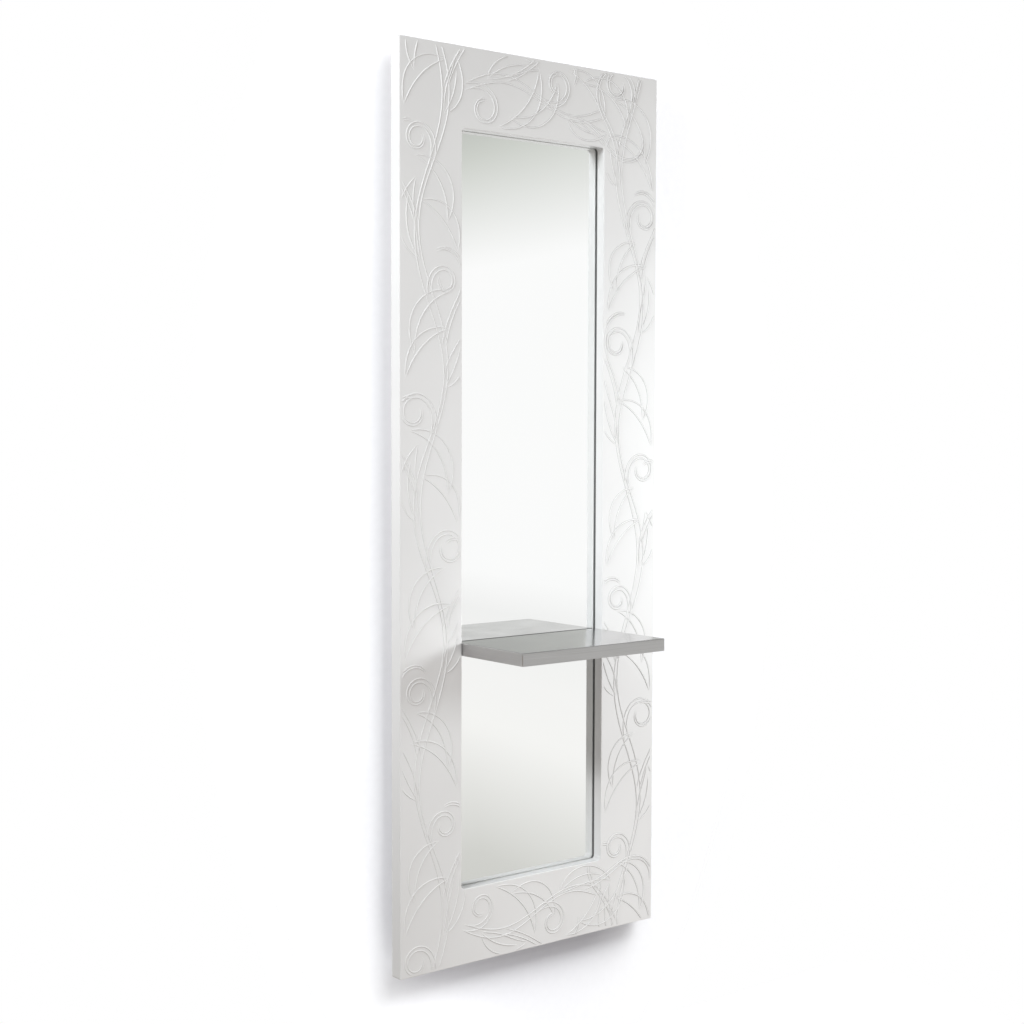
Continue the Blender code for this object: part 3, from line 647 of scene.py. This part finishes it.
def ornament_lines():
    """Four vines, one along each border, each from its own draw."""
    draw = random.Random(ORNAMENT_SEED)
    lines = []
    stile = (PANEL_HIGH.x + OPENING_RIGHT) / 2
    for side, drop in STILE_DROPS:
        drawn = vine(draw, PANEL_LOW.z - drop, PANEL_HIGH.z + STILE_RISE, STILE_SWING, STILE_PITCH)
        lines += [[(side * (stile - across), along) for along, across in line] for line in drawn]
    rails = (PANEL_HIGH.z + OPENING_TOP) / 2, (PANEL_LOW.z + OPENING_BOTTOM) / 2
    for side, middle in zip((1, -1), rails):
        drawn = vine(draw, -RAIL_REACH, RAIL_REACH, RAIL_SWING, RAIL_PITCH)
        lines += [[(along, middle + side * across) for along, across in line] for line in drawn]
    return lines


def add_ornament(finish):
    """The raised ornament on the panel's face, as one piece of many lines."""
    verts = []
    faces = []
    for line in ornament_lines():
        for points, free_start, free_end in kept_runs(line):
            bead(points, free_start, free_end, verts, faces)
    mesh = bpy.data.meshes.new("raised_ornament")
    mesh.from_pydata(verts, [], faces)
    across = mesh.attributes.new("across", "FLOAT", "POINT")
    across.data.foreach_set("value", [abs(BEAD_SHARES[i % len(BEAD_SHARES)]) for i in range(len(verts))])
    mesh.shade_smooth()
    mesh.set_sharp_from_angle(angle=math.radians(BEAD_CREASE_DEGREES))
    mesh.materials.append(finish)
    ornament = bpy.data.objects.new("raised_ornament", mesh)
    bpy.context.scene.collection.objects.link(ornament)
    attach(ornament, "mirror_unit")


def cross_cutter(centre, outward):
    """A tapered cross that reaches into a screw's head from its crown."""
    aside = outward.orthogonal().normalized()
    up = outward.cross(aside)
    far, near = RECESS_SPAN / 2, RECESS_SLOT / 2
    corners = [(far, -near), (far, near), (near, near)]
    shape = bmesh.new()
    rings = []
    for height, share in ((RECESS_DEPTH, 1.0), (-RECESS_DEPTH, RECESS_TAPER)):
        ring = []
        for quarter in range(4):
            turn = Matrix.Rotation(quarter * math.pi / 2, 2)
            for corner in corners:
                x, y = turn @ Vector(corner) * share
                ring.append(shape.verts.new(centre + aside * x + up * y + outward * height))
        rings.append(ring)
    top, bottom = rings
    shape.faces.new(top)
    shape.faces.new(reversed(bottom))
    for i in range(len(top)):
        j = (i + 1) % len(top)
        shape.faces.new((top[j], top[i], bottom[i], bottom[j]))
    mesh = bpy.data.meshes.new("cross")
    shape.to_mesh(mesh)
    shape.free()
    return bpy.data.objects.new("cross", mesh)


def add_screws(finish):
    """Each screw of the frame that has a head again, with a cross recess in the head."""
    for name in [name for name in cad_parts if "_screw_" in name and not name.startswith("grub")]:
        outward = Vector((0.0, 0.0, -1.0)) if name.startswith("base") else Vector((0.0, 1.0, 0.0))
        low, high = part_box(name)
        middle = (low + high) / 2
        crown = middle + outward * abs((high - low).dot(outward)) / 2
        screw = bpy.data.objects.new(f"recessed_{name}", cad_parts[name].data.copy())
        cutter = cross_cutter(crown, outward)
        for thing in (screw, cutter):
            bpy.context.scene.collection.objects.link(thing)
        recess = screw.modifiers.new("recess", "BOOLEAN")
        recess.operation = "DIFFERENCE"
        recess.object = cutter
        cut = screw.evaluated_get(bpy.context.evaluated_depsgraph_get())
        mesh = bpy.data.meshes.new_from_object(cut)
        screw.modifiers.clear()
        screw.data = mesh
        bpy.data.objects.remove(cutter)
        mesh.materials.clear()
        mesh.materials.append(finish)
        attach(screw, "mirror_unit")
        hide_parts(name)


def rubber():
    return grained(
        "rubber",
        dark=(0.035, 0.035, 0.036),
        light=(0.06, 0.06, 0.06),
        scale=700.0,
        roughness=(0.65, 0.85),
        depth=0.00005,
    )


def zinc_plate():
    return grained(
        "zinc_plate",
        dark=(0.50, 0.50, 0.47),
        light=(0.72, 0.72, 0.68),
        scale=900.0,
        roughness=(0.28, 0.42),
        depth=0.00001,
        metallic=1.0,
    )


def powder_coat():
    return grained(
        "powder_coat",
        dark=(0.035, 0.035, 0.038),
        light=(0.06, 0.06, 0.065),
        scale=1400.0,
        roughness=(0.42, 0.58),
        depth=0.00003,
    )


def extruded_aluminium():
    return grained(
        "extruded_aluminium",
        dark=(0.62, 0.63, 0.64),
        light=(0.78, 0.79, 0.80),
        scale=1.0,
        roughness=(0.26, 0.40),
        depth=0.00001,
        stretch=(4.0, 900.0, 900.0),
        metallic=1.0,
    )


def hardboard():
    return grained(
        "hardboard",
        dark=(0.22, 0.13, 0.07),
        light=(0.36, 0.24, 0.14),
        scale=350.0,
        roughness=(0.6, 0.8),
        depth=0.00012,
    )


def core_board():
    return grained(
        "core_board",
        dark=(0.36, 0.25, 0.14),
        light=(0.56, 0.43, 0.27),
        scale=240.0,
        roughness=(0.75, 0.9),
        depth=0.0003,
    )


def nylon():
    return grained(
        "nylon",
        dark=(0.74, 0.74, 0.71),
        light=(0.82, 0.82, 0.79),
        scale=500.0,
        roughness=(0.40, 0.55),
        depth=0.00004,
    )


def finishes():
    """Each finish by the first words of the names of the nodes that have it; screws have the last one."""
    steel = brushed_steel()
    soft = rubber()
    plated = zinc_plate()
    coated = powder_coat()
    rail = extruded_aluminium()
    return {
        "front_panel": lacquer(),
        "mirror_pane": silvered_glass(),
        "mirror_seal": foam(),
        "back_panel": hardboard(),
        "wall_rail": rail,
        "hanging_rail": rail,
        "wall_bumper": soft,
        "shelf_gasket": soft,
        "shelf_skin": steel,
        "shelf_base": steel,
        "shelf_core": core_board(),
        "support_plate": coated,
        "support_rod": coated,
        "rod_bush": nylon(),
        "": plated,
    }


def dress(table):
    """Gives each node of the frame its finish."""
    for name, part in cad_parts.items():
        key = next(start for start in table if name.startswith(start))
        for slot in part.material_slots:
            slot.material = table[key]


def studio(tree, up, levels):
    """Colour of the studio from the sine of the height above its horizon; levels are (degrees, colour)."""
    height = remap(tree, up, 0.0, 1.0, -1.0, 1.0)
    stops = [((math.sin(math.radians(degrees)) + 1) / 2, colour) for degrees, colour in levels]
    return ramp(tree, height, stops)


def add_world():
    """White to the camera, a studio gradient in reflections, and soft light mostly from above."""
    world = bpy.data.worlds.new("studio")
    bpy.context.scene.world = world
    world.use_nodes = True
    tree = world.node_tree
    tree.nodes.clear()
    direction = node(tree, "ShaderNodeTexCoord").outputs["Generated"]
    toward = node(tree, "ShaderNodeSeparateXYZ", {"Vector": direction}).outputs
    stretch = remap(tree, toward["X"], *STUDIO_STRETCH, *STUDIO_REACH)
    stretched = maths(tree, "MULTIPLY", toward["Z"], stretch)
    mirrored = node(tree, "ShaderNodeBackground", {"Color": studio(tree, stretched, REFLECTED_STUDIO)})
    light = node(tree, "ShaderNodeBackground", {"Color": studio(tree, toward["Z"], SOFT_STUDIO)})
    white = node(tree, "ShaderNodeBackground", {"Color": (1.0, 1.0, 1.0, 1.0)})
    path = node(tree, "ShaderNodeLightPath").outputs
    shiny = maths(tree, "MAXIMUM", path["Is Glossy Ray"], path["Is Transmission Ray"])
    values = {"Fac": shiny, 1: light.outputs[0], 2: mirrored.outputs[0]}
    unseen = node(tree, "ShaderNodeMixShader", values).outputs[0]
    values = {"Fac": path["Is Camera Ray"], 1: unseen, 2: white.outputs[0]}
    seen = node(tree, "ShaderNodeMixShader", values).outputs[0]
    node(tree, "ShaderNodeOutputWorld", {"Surface": seen})


def stage_finish(name, centre, reach):
    """Matt white that takes shadows near the object, fades to clear around it and is clear from behind."""
    material, tree, shader = new_finish(name)
    tree.nodes.remove(shader)
    speck = between(tree, noise(tree, scale=60.0), (0.865, 0.88, 0.902), (0.885, 0.90, 0.922))
    matt = node(tree, "ShaderNodeBsdfDiffuse", {"Color": speck}).outputs[0]
    glow = node(tree, "ShaderNodeEmission", {"Color": (*STAGE_GLOW, 1.0)}).outputs[0]
    front = node(tree, "ShaderNodeAddShader", {0: matt, 1: glow}).outputs[0]
    clear = node(tree, "ShaderNodeBsdfTransparent").outputs[0]
    place = node(tree, "ShaderNodeTexCoord").outputs["Object"]
    away = node(tree, "ShaderNodeVectorMath", {0: place, 1: centre}, operation="SUBTRACT").outputs["Vector"]
    share = node(tree, "ShaderNodeVectorMath", {0: away, 1: reach}, operation="DIVIDE").outputs["Vector"]
    distance = node(tree, "ShaderNodeVectorMath", {0: share}, operation="LENGTH").outputs["Value"]
    fade = remap(tree, distance, 0.0, 1.0, FADE_START, 1.0)
    behind = node(tree, "ShaderNodeNewGeometry").outputs["Backfacing"]
    hidden = maths(tree, "MAXIMUM", fade, behind)
    both = node(tree, "ShaderNodeMixShader", {"Fac": hidden, 1: front, 2: clear}).outputs[0]
    tree.links.new(both, tree.nodes["Material Output"].inputs["Surface"])
    return material


def add_backdrop(name, corners, finish):
    """A flat backdrop that only the camera sees, so that it neither blocks nor bounces light."""
    mesh = bpy.data.meshes.new(name)
    mesh.from_pydata(corners, [], [tuple(range(len(corners)))])
    mesh.materials.append(finish)
    backdrop = bpy.data.objects.new(name, mesh)
    bpy.context.scene.collection.objects.link(backdrop)
    backdrop.visible_diffuse = False
    backdrop.visible_glossy = False
    backdrop.visible_transmission = False
    backdrop.visible_shadow = False
    return backdrop


def add_stage():
    """A wall behind the object and a floor below it."""
    floor_z = PANEL_LOW.z - FLOOR_DROP
    reach = STAGE_REACH
    wall = [
        (-reach, WALL_GAP, floor_z),
        (reach, WALL_GAP, floor_z),
        (reach, WALL_GAP, reach),
        (-reach, WALL_GAP, reach),
    ]
    floor = [
        (-reach, -reach, floor_z),
        (reach, -reach, floor_z),
        (reach, WALL_GAP, floor_z),
        (-reach, WALL_GAP, floor_z),
    ]
    wall_finish = stage_finish("wall_white", (0.0, 0.0, PANEL_MID_Z), WALL_FADE)
    floor_finish = stage_finish("floor_white", (0.0, FLOOR_MIDDLE_Y, floor_z), FLOOR_FADE)
    return [add_backdrop("wall", wall, wall_finish), add_backdrop("floor", floor, floor_finish)]


def receivers(name, things, state):
    """A set of things that a lamp lights, or leaves unlit."""
    collection = bpy.data.collections.new(name)
    for thing in things:
        collection.objects.link(thing)
    for member in collection.collection_objects:
        member.light_linking.link_state = state
    return collection


def add_lamp(name, kind, place, target, power, lit):
    """A lamp at a place, aimed at a target; lit is the set of things that it lights."""
    light = bpy.data.lights.new(name, kind)
    light.energy = power
    lamp = bpy.data.objects.new(name, light)
    lamp.location = place
    lamp.rotation_euler = (Vector(target) - Vector(place)).to_track_quat("-Z", "Y").to_euler()
    lamp.visible_camera = False
    lamp.visible_glossy = False
    lamp.light_linking.receiver_collection = lit
    bpy.context.scene.collection.objects.link(lamp)
    return lamp


def add_softbox(name, softbox, lit):
    """An area lamp with a softbox's place, aim, power, size and tint."""
    lamp = add_lamp(name, "AREA", softbox.place, softbox.target, softbox.power, lit)
    lamp.visible_glossy = softbox.in_gloss
    lamp.data.color = softbox.tint
    lamp.data.size = softbox.size
    if softbox.height is not None:
        lamp.data.shape = "RECTANGLE"
        lamp.data.size_y = softbox.height


def light_stage(lit):
    """Lamps for the stage alone, which draw the object's shadow there."""
    for name, aside, power in STAGE_SUNS:
        sun = add_lamp(name, "SUN", (aside, SUN_Y, SUN_Z), (0.0, 0.0, 0.0), power, lit)
        sun.data.angle = math.radians(SUN_DEGREES)
    for name, softbox in STAGE_LAMPS.items():
        add_softbox(name, softbox, lit)
    for name, aside, power in LOW_LAMPS:
        place = (aside, LOW_LAMP_Y, PANEL_LOW.z - LOW_LAMP_DROP)
        target = (aside, 0.0, PANEL_LOW.z)
        add_softbox(name, Lamp(place, target, power, LOW_LAMP_SIZE), lit)


def light_object(lit):
    """Lamps for the object alone."""
    for name, softbox in OBJECT_LAMPS.items():
        add_softbox(name, softbox, lit)


def add_lights(stage):
    """Lamps for the stage, and others for the object."""
    on_stage = receivers("lit_stage", stage, "INCLUDE")
    off_stage = receivers("unlit_stage", stage, "EXCLUDE")
    light_stage(on_stage)
    light_object(off_stage)


def add_camera():
    """The camera at the photograph's viewing angle."""
    data = bpy.data.cameras.new("camera")
    data.lens = CAMERA_LENS
    camera = bpy.data.objects.new("camera", data)
    camera.location = CAMERA_PLACE
    camera.rotation_euler = [math.radians(degrees) for degrees in CAMERA_DEGREES]
    bpy.context.scene.collection.objects.link(camera)
    bpy.context.scene.camera = camera


bpy.context.scene.view_settings.view_transform = "Standard"
finish_table = finishes()
dress(finish_table)
add_ornament(relief_lacquer())
add_screws(finish_table[""])
add_world()
add_lights(add_stage())
add_camera()
